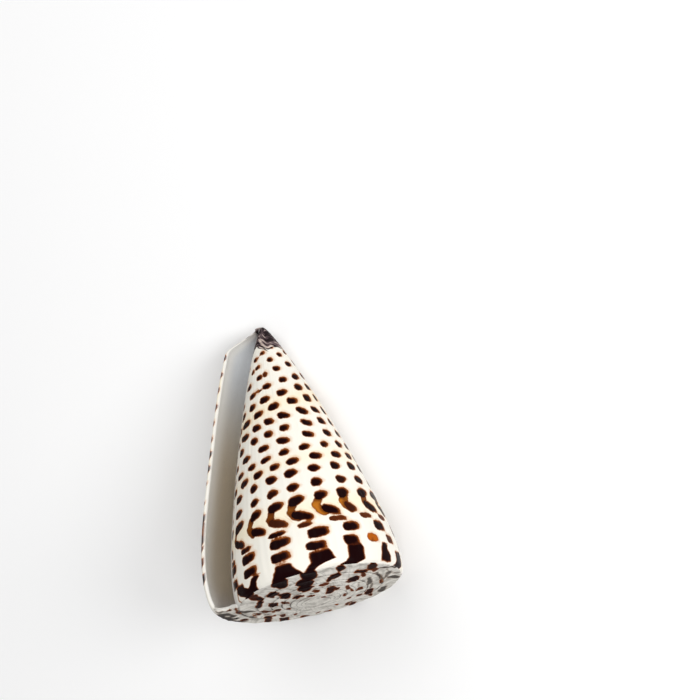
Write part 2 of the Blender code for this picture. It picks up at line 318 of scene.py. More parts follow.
# Camera: place in metres, turn in degrees and lens in millimetres
CAMERA_PLACE = (0.15298, -0.0379, 0.4514)
CAMERA_TURN = (3.502, 17.267, -18.146)
CAMERA_LENS = 70.106

# Soft round lights: name, place and width in metres, power in watts; all point at one middle
LIGHTS = (
    ("top_light", (0.0, 0.45, 0.75), 0.9, 3.1),
    ("right_light", (0.65, -0.1, 0.5), 0.45, 2.6),
    ("front_light", (0.3, -0.25, 0.76), 0.4, 1.9),
)
LIT_MIDDLE = (0.0, 0.0, 0.03)
ROOM_STRENGTH = 0.34

# The floor, a little below the shell so that the two don't meet
FLOOR_HALF_WIDTH = 3.0
FLOOR_GAP = 0.0001


def smooth(value):
    """An even rise from 0 to 1, flat at both ends."""
    held = np.clip(value, 0, 1)
    return held * held * (3 - 2 * held)


def near_end(value, reach):
    """1 at value 0, falling to 0 at reach."""
    return np.clip(1 - value / reach, 0, 1) ** 2


def waves(seed, first, second, count=7):
    """An uneven field between about -1 and 1 over two coordinates."""
    draw = np.random.default_rng(seed)
    total = 0.0
    for _ in range(count):
        along, across, shift = draw.uniform(0.4, 1.6), draw.uniform(-1.3, 1.3), draw.uniform(0, TURN)
        total = total + np.sin(along * first + across * second + shift)
    return total / math.sqrt(count)


def point(back, radius, height):
    """Places in the shell's own frame, stacked along the last axis."""
    return np.stack(np.broadcast_arrays(radius * np.cos(back), radius * np.sin(back), height), -1)


def shoulder_radius(back):
    return SHOULDER_RADIUS * np.exp(-NARROWING * back)


def shoulder_height(back):
    """The height rises towards the middle of the spire, and the whorls lean a little."""
    size = np.exp(-NARROWING * back)
    return SPIRE_RISE * (1 - size) + WHORL_TILT * size * np.cos(back - TILT_BACK)


def side_height(back, drop):
    top = shoulder_height(back)
    return top - (SIDE_LENGTH + top) * drop


def past_corner(drop):
    """0 down to the lip's lower corner, then 1 at the tip."""
    return np.clip((drop - LIP_CORNER) / (1 - LIP_CORNER), 0, 1)


def side_radius(back, drop):
    taper = (1 - drop ** SIDE_BEND) ** SIDE_POWER
    rounded = 1 - SHOULDER_ROUNDING * np.exp(-drop / SHOULDER_ROUNDING_REACH)
    closing = 1 - past_corner(drop) ** LIP_CORNER_SHARPNESS
    fullness = LIP_FULLNESS * np.exp(-((drop - FULLEST_DROP) / FULLNESS_REACH) ** 2)
    near_lip = np.exp(-(back / FLARE_REACH) ** 2)
    flare = near_lip * (LIP_FLARE * drop ** FLARE_POWER * closing + fullness)
    blunt = TIP_ROUNDING * (np.sqrt(1 - drop) - (1 - drop))
    return shoulder_radius(back) * taper * rounded + flare + blunt


def row_place(back, drop):
    """The place down the side that a row of spots keeps as it winds round the shell."""
    return drop * np.exp(NARROWING * (back - FRONT_BACK))


def edge_offset(back):
    """How far the shoulder's edge stands in and down: rounded off and a little wavy."""
    size = np.exp(-NARROWING * back)
    wavy = EDGE_WAVE * (waves(11, 9 * back, 0) + 0.6 * waves(12, 31 * back, 0)) * 0.5
    return size * (EDGE_SOFTENING + wavy + EDGE_WAVE * 0.5)


def side_relief(back, drop):
    """Growth ridges all over, and spiral cords round the narrow tip."""
    ridges = GROWTH_RIDGE * (waves(21, 46 * back, 5 * drop) - 1) * smooth(drop / 0.05)
    place = row_place(back, drop)
    cord = 0.5 - 0.5 * np.cos(TURN * place * SIDE_LENGTH / CORD_SPACING)
    fades = smooth((drop - CORDS_FROM) / 0.1) * smooth((CORDS_UP_TO - drop) / 0.03)
    return ridges * smooth((RIDGES_UP_TO - drop) / 0.05) - CORD_DEPTH * cord * fades


def side_point(back, drop):
    edge = edge_offset(back) * near_end(drop, EDGE_REACH_DOWN)
    radius = side_radius(back, drop) + side_relief(back, drop) - edge
    return point(back, radius, side_height(back, drop) - EDGE_SINKS * edge)


def lip_setback(drop):
    """How far back the lip's edge stands, near its lower corner."""
    return NOTCH_BACK * smooth(past_corner(drop))


def shoulder_setback(back, drop):
    """The lip's edge also bows back where it rounds the shoulder."""
    return SHOULDER_SETBACK * near_end(drop, SHOULDER_SETBACK_REACH) * sinus_fade(back)


def sinus_fade(back):
    """1 at the lip, falling to 0 further back."""
    return np.maximum(0, 1 - back / SINUS_REACH)


def ramp_relief(back, share):
    """Fine spiral threads and curved growth ridges across a ramp."""
    size = np.exp(-NARROWING * back)
    inner = np.sin(np.pi * share) ** 0.5
    threads = RAMP_THREAD * np.cos(TURN * 4.5 * share)
    ridges = RAMP_RIDGE * waves(31, 34 * back + 3.0 * np.sin(np.pi * share), 2.0 * share)
    return size * inner * (threads + ridges)


def ramp_point(back, share):
    """A point of the spire: each ramp is hollow and steps up to the older whorl."""
    outer = side_radius(back, 0)
    inner = side_radius(back + TURN, 0)
    radius = outer + (inner - outer) * share
    low, high = shoulder_height(back), shoulder_height(back + TURN)
    hollow = RAMP_HOLLOW * (outer / SHOULDER_RADIUS) * np.sin(np.pi * share ** 1.6) ** 0.7
    edge = (edge_offset(back) * near_end(share, EDGE_REACH_IN)
            + edge_offset(back + TURN) * near_end(1 - share, EDGE_REACH_OUT))
    height = low + (high - low) * share - hollow + ramp_relief(back, share)
    return point(back, radius - edge, height - EDGE_SINKS * edge)


def ramp_setback(back, share):
    """The growth edge bows back across the last ramp."""
    bow = SINUS_BACK * np.sin(np.pi * share) + SHOULDER_SETBACK * (1 - share)
    return bow * sinus_fade(back)


def wall_here(back):
    return LIP_WALL + (WALL - LIP_WALL) * smooth(back / THICKENING_REACH)


def core_radius(back, drop, wall_radius):
    """The older whorl inside the chamber: wasted thinner, then meeting the outer wall."""
    bare = side_radius(back + TURN, drop) * (1 - CORE_WASTING * smooth(back / CORE_WASTING_REACH))
    nearest = wall_radius - SLOT_LEAST
    depth_share = back / CHAMBER_BACK
    meeting = smooth((depth_share - CHAMBER_NARROWS_FROM) / (1 - CHAMBER_NARROWS_FROM))
    return np.maximum(np.minimum(bare + (nearest - bare) * meeting, nearest), COLUMN_LEAST)


def side_drops():
    """Steps down the side, finer at the shoulder and drawn together at the tip."""
    top = np.linspace(0, 0.04, 10)
    middle = np.linspace(0.04, 0.94, 119)[1:]
    end = 1 - 0.06 * np.linspace(1, 0, 20)[1:] ** 2
    return np.concatenate([top, middle, end])


def ramp_shares():
    """Steps across a ramp, drawn together at the shoulder and at the suture."""
    even = np.linspace(0, 1, RAMP_CELLS + 1)
    return even - 0.1 * np.sin(TURN * even)


DROPS = side_drops()
SHARES = ramp_shares()


class Patch:
    """A grid of places, with the looks that the material needs at each of them."""

    def __init__(self, places, flipped=False, **looks):
        self.places = places
        self.flipped = flipped
        self.looks = {name: np.broadcast_to(value, places.shape[:2]) for name, value in looks.items()}


class Marks:
    """Each point's millimetres past the nearest mark's edge, below 0 in the mark. Lead goes
    from -1 at a spot's sharp end to 1 at its soft end. Tone is a spot's paleness, and the
    other tone is a link's darkness, and on the spire the darkness of a painted ridge shadow."""

    def __init__(self, shape):
        self.spot = np.full(shape, FAR)
        self.lead = np.zeros(shape)
        self.tone = np.zeros(shape)
        self.link = np.full(shape, FAR)
        self.link_and_ridge_shade_tone = np.zeros(shape)

    def add_spot(self, x, y, width, height, roundness, pointed, tone):
        """A rounded spot, x towards its soft end, which may be drawn to a point."""
        near = (np.abs(x) < width / 2 + FAR) & (np.abs(y) < height / 2 + FAR)
        x, y = x[near] + 1e-6, y[near]
        across, up = x / (width / 2), y / (height / 2)
        up = up / (1 - pointed * np.clip(across, 0, 1) ** 1.5)
        power = 2 / roundness
        size = (np.abs(across) ** power + np.abs(up) ** power) ** (1 / power)
        distance = np.hypot(x, y) * (1 - 1 / size)
        self.keep_nearest(near, distance, np.clip(0.8 * across + 0.35 * up, -1, 1), tone)

    def add_flare(self, x, y):
        """A mark between two edges, given how far each point is outside of its borders."""
        x, y = x + FLARE_CORNER, y + FLARE_CORNER
        outside = np.hypot(np.maximum(x, 0), np.maximum(y, 0))
        distance = outside + np.minimum(np.maximum(x, y), 0) - FLARE_CORNER
        self.keep_nearest(np.full(x.shape, True), distance.ravel(), -0.2, 0.0)

    def keep_nearest(self, near, distance, lead, tone):
        """Where this mark is the nearest one, the fields take its values."""
        nearer = distance < self.spot[near]
        for field, value in ((self.spot, distance), (self.lead, lead), (self.tone, tone)):
            field[near] = np.where(nearer, value, field[near])

    def add_line(self, x, y, run_x, run_y, half_width, tone, links=True):
        """A line from the local origin to (run_x, run_y), as a link (on the spire, a painted ridge
        shadow) or else as a spot.
        """
        along = np.clip((x * run_x + y * run_y) / (run_x ** 2 + run_y ** 2), 0, 1)
        distance = np.hypot(x - along * run_x, y - along * run_y) - half_width
        distances, tones = (self.link, self.link_and_ridge_shade_tone) if links else (self.spot, self.tone)
        nearer = distance < distances
        distances[:] = np.where(nearer, distance, distances)
        tones[:] = np.where(nearer & (distance < 1), tone, tones)

    def looks(self):
        return {"spot": np.clip(self.spot, -FAR, FAR), "lead": self.lead, "tone": self.tone,
                "link": np.clip(self.link, -FAR, FAR), "link_and_ridge_shade_tone": self.link_and_ridge_shade_tone}


def hidden_spots(row, draw):
    """Spots for the side that isn't seen, in the row's own rhythm."""
    seen = [spot[0] for spot in row.spots]
    width = np.mean([spot[1] for spot in row.spots])
    steps = round((min(seen) - LIP_SPOT_ANGLE) / row.pitch)
    angles = list(np.linspace(min(seen), LIP_SPOT_ANGLE, steps + 1)[1:])
    angles += list(np.arange(max(seen) + row.pitch, HIDDEN_END, row.pitch))
    spots = []
    for angle in angles:
        pale = 0.6 if draw.random() < 0.05 else 0.1 * draw.random()
        spots.append((angle + draw.normal(0, 1.3), width * draw.uniform(0.82, 1.12), pale))
    return spots


class SideMap:
    """Where the points of the side lie: their angles back, row places and radii."""

    def __init__(self, back, drop):
        self.back = back
        self.place = row_place(back, drop)
        self.radius = side_radius(back, drop)

    def past(self, angle):
        """Millimetres round the shell from an angle in degrees, towards the lip."""
        return (np.radians(angle) - self.back) * self.radius * MM

    def below(self, place):
        """Millimetres down the side from a row place."""
        return (self.place - place) * SIDE_LENGTH * MM


def span_at(angle, place, degrees):
    """How many millimetres some degrees span where a row passes an angle."""
    back = math.radians(angle)
    drop = min(place * math.exp(-NARROWING * (back - FRONT_BACK)), LOWEST_MARK)
    return math.radians(degrees) * side_radius(back, drop) * MM


def add_row(marks, row, side, draw):
    """Adds a row of spots, each a little uneven."""
    for angle, width, *pale in list(row.spots) + hidden_spots(row, draw):
        here = row.place + row.climb * (CLIMB_FROM - max(angle, HIDDEN_BELOW)) / 100
        x, y = side.past(angle), side.below(here + draw.normal(0, 0.0008))
        wide = span_at(angle, here, width) * SPOT_FULLNESS
        high = row.height * SIDE_LENGTH * MM * SPOT_FULLNESS * draw.uniform(0.95, 1.07)
        slant = row.slant + draw.normal(0, 0.04)
        tone = pale[0] if pale else 0.0
        marks.add_spot(x, y + slant * x, wide, high, row.round, row.point, tone)


def add_flares(marks, side, draw):
    """Adds the flared marks, and others like them on the hidden side."""
    flares = list(FLARES)
    angle = FLARES[-1][0][1] - FLARE_PITCH
    while angle > LAST_FLARE_ANGLE:
        spread = draw.uniform(0.8, 1.1)
        flares.append([(station, angle + left * spread, angle + right * spread)
                       for station, left, right in HIDDEN_FLARE])
        angle -= FLARE_PITCH + draw.normal(0, 1.5)
    for flare in flares:
        places, lefts, rights = np.array(flare).T
        past_left = side.past(np.interp(side.place, places, lefts))
        past_right = side.past(np.interp(side.place, places, rights))
        marks.add_flare(np.maximum(-past_left, past_right),
                        np.maximum(-side.below(places[0]), side.below(places[-1])))


def add_links(marks, side, draw):
    """Adds the links that join two rows of spots into C marks."""
    links = list(LINKS)
    angle = LINKS[-1][0] - LINK_PITCH
    while angle > 0:
        links.append((angle + draw.normal(0, 1), draw.uniform(1.1, 1.6), draw.uniform(0, 0.9)))
        angle -= LINK_PITCH
    for angle, half_width, tone in links:
        stations = [(angle + turn, place) for turn, place in LINK_STATIONS]
        add_strokes(marks, side, stations, half_width, tone)


def add_strokes(marks, side, stations, half_width, tone, links=True):
    """Straight strokes from each (angle, place) station on the side to the next."""
    for (angle, place), (end_angle, end_place) in zip(stations, stations[1:]):
        run_x = span_at(angle, place, angle - end_angle)
        run_y = (end_place - place) * SIDE_LENGTH * MM
        marks.add_line(side.past(angle), side.below(place), run_x, run_y, half_width, tone, links)


def side_looks(back, drop):
    """The looks of the body's side."""
    side = SideMap(back, drop)
    marks = Marks(back.shape)
    draw = np.random.default_rng(PATTERN_SEED)
    for row in SPOT_ROWS:
        add_row(marks, row, side, draw)
    angle, place, width, height = AMBER_SPOT
    marks.add_spot(side.past(angle), side.below(place), span_at(angle, place, width),
                   height * SIDE_LENGTH * MM, 0.8, 0, 1)
    add_flares(marks, side, draw)
    for line in THIN_LINES:
        add_strokes(marks, side, line, THIN_LINE_HALF_WIDTH, THIN_LINE_TONE, links=False)
    add_links(marks, side, draw)
    looks = marks.looks()
    looks["band"] = cream_bands(side.place)
    looks["tip"] = np.maximum(side.place - tip_border(back), drop - TIP_END) * SIDE_LENGTH * MM
    looks["glaze"] = smooth((back - GLAZE_FROM) / GLAZE_PASSAGE)
    return looks


def cream_bands(place):
    """How strong the faint cream bands are that wind round the body."""
    return sum(strength * np.exp(-((place - middle) / reach) ** 2)
               for middle, reach, strength in CREAM_BANDS)


def tip_border(back):
    """Where the dark tip begins, as a row place."""
    border = TIP_PLACE + TIP_SWING * np.sin(back - math.radians(TIP_SWING_ANGLE))
    for angle, reach, lower in TIP_BORDER_DIPS:
        border = border + lower * np.exp(-((back - math.radians(angle)) / reach) ** 2)
    return border


def spire_looks(back, share):
    """The looks of the spire's ramps."""
    marks = Marks(back.shape)
    radius = side_radius(back, 0) + (side_radius(back + TURN, 0) - side_radius(back, 0)) * share
    x, y = radius * np.cos(back) * MM, radius * np.sin(back) * MM
    for start_x, start_y, end_x, end_y, half_width, pale in SPIRE_STROKES:
        run_x, run_y = end_x - start_x, end_y - start_y
        inset = min(0.4 * half_width / math.hypot(run_x, run_y), 0.4)
        marks.add_line(x - start_x - inset * run_x, y - start_y - inset * run_y,
                       (1 - 2 * inset) * run_x, (1 - 2 * inset) * run_y,
                       SPIRE_MARK_FULLNESS * half_width, pale, links=False)
    # The bands are painted shadows of the spire's ridges, drawn as links
    for start_x, start_y, end_x, end_y, half_width, darkness in SPIRE_RIDGE_SHADOWS:
        marks.add_line(x - start_x, y - start_y, end_x - start_x, end_y - start_y, half_width,
                       darkness)
    return marks.looks()


def side_patch():
    turns = np.linspace(0, 1, STEPS_ROUND + 1)[:, None]
    drop = np.broadcast_to(DROPS, (STEPS_ROUND + 1, len(DROPS)))
    back = TURN * turns + lip_setback(drop) * (1 - turns) + shoulder_setback(TURN * turns, drop)
    return Patch(side_point(back, drop), zone=ON_SIDE, depth=0, around=GROWTH_PER_RADIAN * back,
                 along=SIDE_LENGTH * drop, **side_looks(back, drop))


def ramp_grid():
    """Angles and shares of the whole spiral of ramps."""
    steps = np.arange((SPIRE_TURNS - 1) * STEPS_ROUND + 1)[:, None]
    start = TURN * steps / STEPS_ROUND
    share = np.broadcast_to(SHARES, (len(steps), len(SHARES)))
    return start + ramp_setback(start, share), share


def spire_patch():
    back, share = ramp_grid()
    return Patch(ramp_point(back, share), flipped=True, zone=ON_SPIRE, depth=share, band=0,
                 tip=-FAR, glaze=0, around=GROWTH_PER_RADIAN * (back + SPIRE_LEAN * share),
                 along=GROWTH_PER_RAMP * share, **spire_looks(back, share))


def apex_patch(spire):
    """Closes the spire with a fan round its top."""
    places = spire.places
    rim = np.concatenate([places[-STEPS_ROUND - 1:, -1], places[-1, -2:0:-1],
                          places[-STEPS_ROUND - 1:-STEPS_ROUND, -1]])
    top = np.array([0, 0, shoulder_height(TURN * SPIRE_TURNS) + APEX_RISE])
    grid = np.stack([rim, np.broadcast_to(top, rim.shape)])
    return Patch(grid, zone=ON_SPIRE, depth=0.5, **plain_looks())


def plain_looks(**changed):
    """Looks with no marks at all."""
    unmarked = {"spot": FAR, "link": FAR, "tip": -FAR}
    others = dict.fromkeys(("lead", "tone", "link_and_ridge_shade_tone", "band", "glaze", "around", "along"), 0.0)
    return {**unmarked, **others, **changed}


def chamber_grid():
    """Depths in radians and drops of the chamber's rows, its floor rising as it goes in."""
    depth = np.linspace(0, CHAMBER_BACK, CHAMBER_STEPS + 1)[:, None]
    top, low = DROPS[1], DROPS[-2]
    floor = low + (CHAMBER_END_DROP - low) * smooth(depth / CHAMBER_BACK)
    return depth, CHAMBER_TOP + (DROPS[1:-1] - top) * (floor - CHAMBER_TOP) / (low - top)


def chamber_parts():
    """The chamber's three grids: the core, the ceiling and the outer wall."""
    depth, drop = chamber_grid()
    wall_place = depth + lip_setback(drop) * (1 - depth / CHAMBER_BACK) + shoulder_setback(depth, drop)
    wall_radius = np.maximum(side_radius(wall_place, drop) - wall_here(depth),
                             COLUMN_LEAST + SLOT_LEAST)
    wall = point(wall_place, wall_radius, side_height(wall_place, drop))
    inner_radius = core_radius(depth, drop, wall_radius)
    core = point(depth + TURN, inner_radius, side_height(depth + TURN, drop))
    core[0] = side_point(np.full(len(DROPS) - 2, TURN), DROPS[1:-1])
    inner_radius[0] = side_radius(TURN, DROPS[1:-1])
    share = SHARES[1:-1][::-1]
    ceiling_place = depth + ramp_setback(depth, share)
    span = wall_radius[:, :1] - inner_radius[:, :1]
    radius = inner_radius[:, :1] + span * (1 - share)
    height = ramp_point(ceiling_place, share)[..., 2] - wall_here(depth)
    return core, point(ceiling_place, radius, height), wall


def chamber_patch(core, ceiling, wall):
    """The chamber's skin: up the core, over the ceiling, down the wall and back."""
    depth, drop = chamber_grid()
    drops = [drop[:, ::-1], np.broadcast_to(drop[:, :1], ceiling.shape[:2]), drop, drop[:, -1:]]
    places = np.concatenate([core[:, ::-1], ceiling, wall, core[:, -1:]], axis=1)
    drops = np.concatenate(drops, axis=1)
    on_core = np.concatenate([np.ones(core.shape[:2]), np.zeros(ceiling.shape[:2]),
                              np.zeros(wall.shape[:2]), np.ones((len(core), 1))], axis=1)
    stain = (drops - TIP_END) * SIDE_LENGTH * MM
    looks = plain_looks(tip=stain, glaze=1, around=GROWTH_PER_RADIAN * depth,
                        along=SIDE_LENGTH * drops)
    return Patch(places, flipped=True, zone=IN_CHAMBER, depth=np.maximum(depth, 0.9 * on_core), **looks)


def chamber_end_patches(core, ceiling, wall):
    """The narrow wall where the chamber ends."""
    strip = np.stack([core[-1], wall[-1]])
    chain = np.concatenate([core[-1, :1], ceiling[-1], wall[-1, :1]])
    fan = np.stack([chain, np.broadcast_to(chain[0], chain.shape)])
    looks = plain_looks(glaze=1)
    return [Patch(strip, zone=IN_CHAMBER, depth=CHAMBER_BACK, **looks),
            Patch(fan, flipped=True, zone=IN_CHAMBER, depth=CHAMBER_BACK, **looks)]


def lip_patch(side, spire, core, ceiling, wall):
    """The rounded edge that joins the outside to the chamber."""
    outer = np.concatenate([spire.places[0, ::-1], side.places[0, 1:]])
    inner = np.concatenate([core[0, :1], ceiling[0], wall[0, :1], wall[0], core[0, -1:]])
    steps = np.linspace(0, 1, LIP_ROWS + 1)
    between = [lip_row(outer, inner, step) for step in steps[1:-1]]
    places = np.stack([outer, *between, inner])
    across = steps[:, None]
    looks = {}
    for name in ("spot", "lead", "tone", "link", "link_and_ridge_shade_tone", "tip", "band"):
        looks[name] = np.concatenate([spire.looks[name][0, ::-1], side.looks[name][0, 1:]])
    looks["spot"] = looks["spot"] + 1.8 * across
    looks["link"] = looks["link"] + 1.8 * across
    zone = np.concatenate([np.full(len(SHARES), ON_SPIRE), np.full(len(DROPS) - 1, ON_SIDE)])
    return Patch(places, flipped=True, zone=zone, depth=0, glaze=smooth(2.0 * across - 0.5),
                 around=0, along=np.linspace(0, 0.1, places.shape[1]), **looks)


def lip_row(outer, inner, across):
    """One row of the lip's edge, bulging forward; its ends meet the outside's ends."""
    centre = outer + (inner - outer) * (0.5 - 0.5 * math.cos(math.pi * across))
    flat = np.stack([centre[:, 1], -centre[:, 0], np.zeros(len(centre))], axis=1)
    forward = flat / np.maximum(np.linalg.norm(flat, axis=1, keepdims=True), 0.001)
    row = centre + forward * LIP_BULGE * math.sin(math.pi * across)
    row[0], row[-1] = outer[0], outer[-1]
    return row


def all_patches():
    side = side_patch()
    spire = spire_patch()
    core, ceiling, wall = chamber_parts()
    patches = [side, spire, apex_patch(spire), chamber_patch(core, ceiling, wall)]
    patches += chamber_end_patches(core, ceiling, wall)
    patches.append(lip_patch(side, spire, core, ceiling, wall))
    return patches


def grid_faces(rows, columns, first, flipped):
    """Four-sided faces of a grid whose numbering starts at first."""
    numbers = first + np.arange(rows * columns).reshape(rows, columns)
    here, right = numbers[:-1, :-1], numbers[:-1, 1:]
    below, across = numbers[1:, :-1], numbers[1:, 1:]
    corners = (here, below, across, right) if flipped else (here, right, across, below)
    return np.stack(corners, -1).reshape(-1, 4)


def rest_turn():
    """Turns the upright shell onto its side, spire to the front."""
    roll = Matrix.Rotation(math.radians(REST_ROLL), 4, "Z")
    lay_down = Matrix.Rotation(math.radians(90.0 + REST_DIP), 4, "X")
    return lay_down @ roll


def wear_rest_flat(places):
    """The side that the shell lies on is worn to a small flat."""
    down = -np.array(rest_turn().to_3x3())[2]
    floor_depth = REST_PLACE[2]
    too_deep = np.maximum(places @ down - floor_depth, 0)
    return places - too_deep[:, None] * down


def shell_mesh():
    """One closed mesh welded from all the patches, with the looks kept at its corners."""
    patches = all_patches()
    places, faces, count = [], [], 0
    for patch in patches:
        rows, columns = patch.places.shape[:2]
        faces.append(grid_faces(rows, columns, count, patch.flipped))
        places.append(patch.places.reshape(-1, 3))
        count += rows * columns
    places, faces = wear_rest_flat(np.concatenate(places)), np.concatenate(faces)
    mesh = bpy.data.meshes.new("shell_surface")
    mesh.from_pydata(places.tolist(), [], faces.tolist())
    for name in patches[0].looks:
        values = np.concatenate([patch.looks[name].ravel() for patch in patches])
        field = mesh.attributes.new(name, "FLOAT", "CORNER")
        field.data.foreach_set("value", values[faces.ravel()].astype(np.float32))
    weld(mesh)
    mesh.shade_smooth()
    mesh.transform(Matrix.Translation(REST_PLACE) @ rest_turn())
    return mesh


def weld(mesh):
    """Joins the patches along their shared borders."""
    shape = bmesh.new()
    shape.from_mesh(mesh)
    bmesh.ops.remove_doubles(shape, verts=shape.verts[:], dist=WELD)
    shape.to_mesh(mesh)
    shape.free()


class Nodes:
    """Short calls for building one material's node tree."""

    def __init__(self, material):
        material.use_nodes = True
        self.tree = material.node_tree
        self.shader = self.tree.nodes["Principled BSDF"]

    def add(self, kind, *values, **settings):
        """A new node with its settings, its first inputs fed with the values."""
        node = self.tree.nodes.new(kind)
        for name, value in settings.items():
            setattr(node, name, value)
        for socket, value in zip(node.inputs, values):
            self.feed(socket, value)
        return node

    def feed(self, socket, value):
        if isinstance(value, bpy.types.NodeSocket):
            self.tree.links.new(value, socket)
        else:
            socket.default_value = value

    def field(self, name):
        """One of the numbers kept at the mesh's corners."""
        return self.add("ShaderNodeAttribute", attribute_name=name).outputs["Fac"]

    def math(self, operation, first, second):
        return self.add("ShaderNodeMath", first, second, operation=operation).outputs[0]

    def plus(self, first, second):
        return self.math("ADD", first, second)

    def minus(self, first, second):
        return self.math("SUBTRACT", first, second)

    def times(self, first, second):
        return self.math("MULTIPLY", first, second)

    def step(self, value, low, high, to_low=0.0, to_high=1.0):
        """A smooth passage from to_low to to_high while value goes from low to high."""
        node = self.add("ShaderNodeMapRange", value, low, high, to_low, to_high,
                        interpolation_type="SMOOTHSTEP")
        return node.outputs[0]

    def mix(self, share, first, second):
        node = self.add("ShaderNodeMix", share, data_type="RGBA")
        self.feed(node.inputs[6], first)
        self.feed(node.inputs[7], second)
        return node.outputs[2]

    def ramp(self, value, stops):
        """A colour ramp through (position, colour) stops."""
        node = self.add("ShaderNodeValToRGB", value)
        elements = node.color_ramp.elements
        for place, (position, colour) in enumerate(stops):
            element = elements[place] if place < 2 else elements.new(position)
            element.position = position
            element.color = colour
        return node.outputs[0]

    def noise(self, vector, scale, detail=2.0, roughness=0.5):
        """Noise between 0 and 1; scale is in features per metre."""
        return self.add("ShaderNodeTexNoise", vector, 0, scale, detail, roughness).outputs[0]

    def vector(self, first, second):
        return self.add("ShaderNodeCombineXYZ", first, second).outputs[0]


def rgb(red, green, blue):
    """A colour given as on a screen (0 to 255), for a node's socket."""
    shares = [value / 255 for value in (red, green, blue)]
    return tuple(c / 12.92 if c < 0.04045 else ((c + 0.055) / 1.055) ** 2.4 for c in shares) + (1.0,)


IVORY = rgb(242, 238, 227)
IVORY_COOL = rgb(236, 233, 224)
CREAM = rgb(250, 231, 186)
HALO = rgb(212, 152, 88)
AMBER = rgb(196, 120, 36)
AMBER_DARK = rgb(88, 38, 12)
SPOT_BLACK = rgb(25, 7, 8)
SPOT_BROWN = rgb(66, 26, 12)
SPOT_RIM = rgb(150, 82, 32)
PALE_SPOT = rgb(104, 50, 22)
AMBER_SPOT_INK = rgb(186, 94, 18)
TIP_DARK = rgb(38, 29, 31)
TIP_MIDDLE = rgb(104, 88, 90)
TIP_STAIN = rgb(84, 58, 44)
TIP_PINK = rgb(214, 196, 184)
SPIRE_WHITE = rgb(226, 222, 214)
SPIRE_GREY = rgb(142, 135, 126)
# Painted shadow of the spire's ridges
RIDGE_SHADOW_GREY = rgb(62, 56, 54)
# Dark suture line, widened into painted shadow under each whorl's step
SUTURE_AND_STEP_SHADE = rgb(66, 54, 46)
INSIDE_WHITE = rgb(226, 224, 219)
INSIDE_BLUE = rgb(214, 216, 218)
INSIDE_LILAC = rgb(246, 243, 246)
INSIDE_TAUPE = rgb(218, 206, 186)


class ShellNodes(Nodes):
    """The shell material's nodes, with the inputs that most of its parts use."""

    def __init__(self, material):
        super().__init__(material)
        self.object_place = self.add("ShaderNodeTexCoord").outputs["Object"]
        self.growth_place = self.vector(self.field("around"), self.times(self.field("along"), 0.08))
        # This is 1 in the chamber too, where it only dulls the gloss and deepens the bump
        self.on_spire = self.step(self.field("zone"), 0.4, 0.6)


def warp_field(nodes):
    """Uneven offsets in millimetres that keep the marks' edges from being too neat."""
    wide = nodes.minus(nodes.noise(nodes.object_place, 400), 0.5)
    fine = nodes.minus(nodes.noise(nodes.object_place, 1700), 0.5)
    both = nodes.plus(nodes.times(wide, 1.3), nodes.times(fine, 0.22))
    return nodes.times(both, nodes.minus(1, nodes.times(nodes.on_spire, 0.35)))


def ground_colour(nodes):
    """The ivory ground with its cream bands, faint clouds and growth streaks."""
    clouds = nodes.noise(nodes.object_place, 55, 3)
    streaks = nodes.noise(nodes.growth_place, 900, 3)
    ivory = nodes.mix(nodes.step(clouds, 0.35, 0.7), IVORY, IVORY_COOL)
    streaked = nodes.mix(nodes.step(streaks, 0.45, 0.8, 0, 0.1), ivory, CREAM)
    return nodes.mix(nodes.times(nodes.field("band"), 0.45), streaked, CREAM)


def link_and_ridge_shade_colour(nodes, link, spot):
    """Amber on the side, darker at its edges and by a spot, and on the spire the grey of painted ridge
    shadows.
    """
    tone = nodes.field("link_and_ridge_shade_tone")
    amber = nodes.mix(tone, AMBER, AMBER_DARK)
    by_spot = nodes.mix(nodes.step(spot, 1.5, 0, 0, 0.8), amber, AMBER_DARK)
    edged = nodes.mix(nodes.step(link, -0.8, 0, 0, 0.6), by_spot, AMBER_DARK)
    return nodes.mix(nodes.on_spire, edged, nodes.mix(tone, SPIRE_GREY, RIDGE_SHADOW_GREY))


def spot_colour(nodes, spot, warp, inwards):
    """Nearly black with a brown rim, or paler as its tone says, up to the amber spot's ink."""
    tone = nodes.field("tone")
    ink = nodes.ramp(nodes.math("DIVIDE", inwards, 1.2), (
        (0, SPOT_RIM), (1, SPOT_BLACK), (0.32, SPOT_BROWN), (0.62, SPOT_BLACK)))
    mottle = nodes.plus(nodes.step(spot, -0.8, -0.1, 0, 0.3), nodes.step(warp, 0.05, 0.3, 0, 0.7))
    amber_spot = nodes.mix(nodes.math("MINIMUM", mottle, 1), AMBER_SPOT_INK, AMBER_DARK)
    pale = nodes.mix(nodes.step(tone, 0.9, 1), PALE_SPOT, amber_spot)
    return nodes.mix(nodes.times(tone, 0.85), ink, pale)


